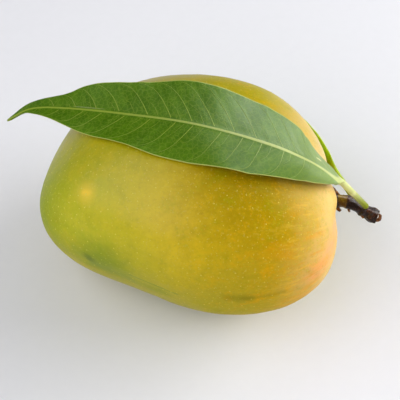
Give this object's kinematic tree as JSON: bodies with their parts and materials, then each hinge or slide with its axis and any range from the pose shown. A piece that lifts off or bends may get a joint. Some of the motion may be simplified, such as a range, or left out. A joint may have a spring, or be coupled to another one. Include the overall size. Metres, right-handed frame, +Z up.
{
  "type": "mango",
  "caption": "Ripe whole mango lying on its side, yellow-green with an orange stem end, with a short cut woody stem and long wavy green leaves.",
  "frame": {"origin": "middle of the small flat spot under the fruit, on the surface that it rests on", "axes": "+Z up, +X from the tip towards the stem end, -Y towards the belly side"},
  "size_m": [0.1387, 0.0989, 0.0849],
  "materials": {
    "fruit_skin": "waxy satin skin",
    "stem_bark": "glossy dark bark",
    "leaf_green": "waxy leaf",
    "leaf_light": "waxy leaf"
  },
  "bodies": {
    "root": {"fruit": "fruit_skin", "stem": "stem_bark", "leaf_front": "leaf_green", "leaf_back": "leaf_light"}
  },
  "joints": []
}
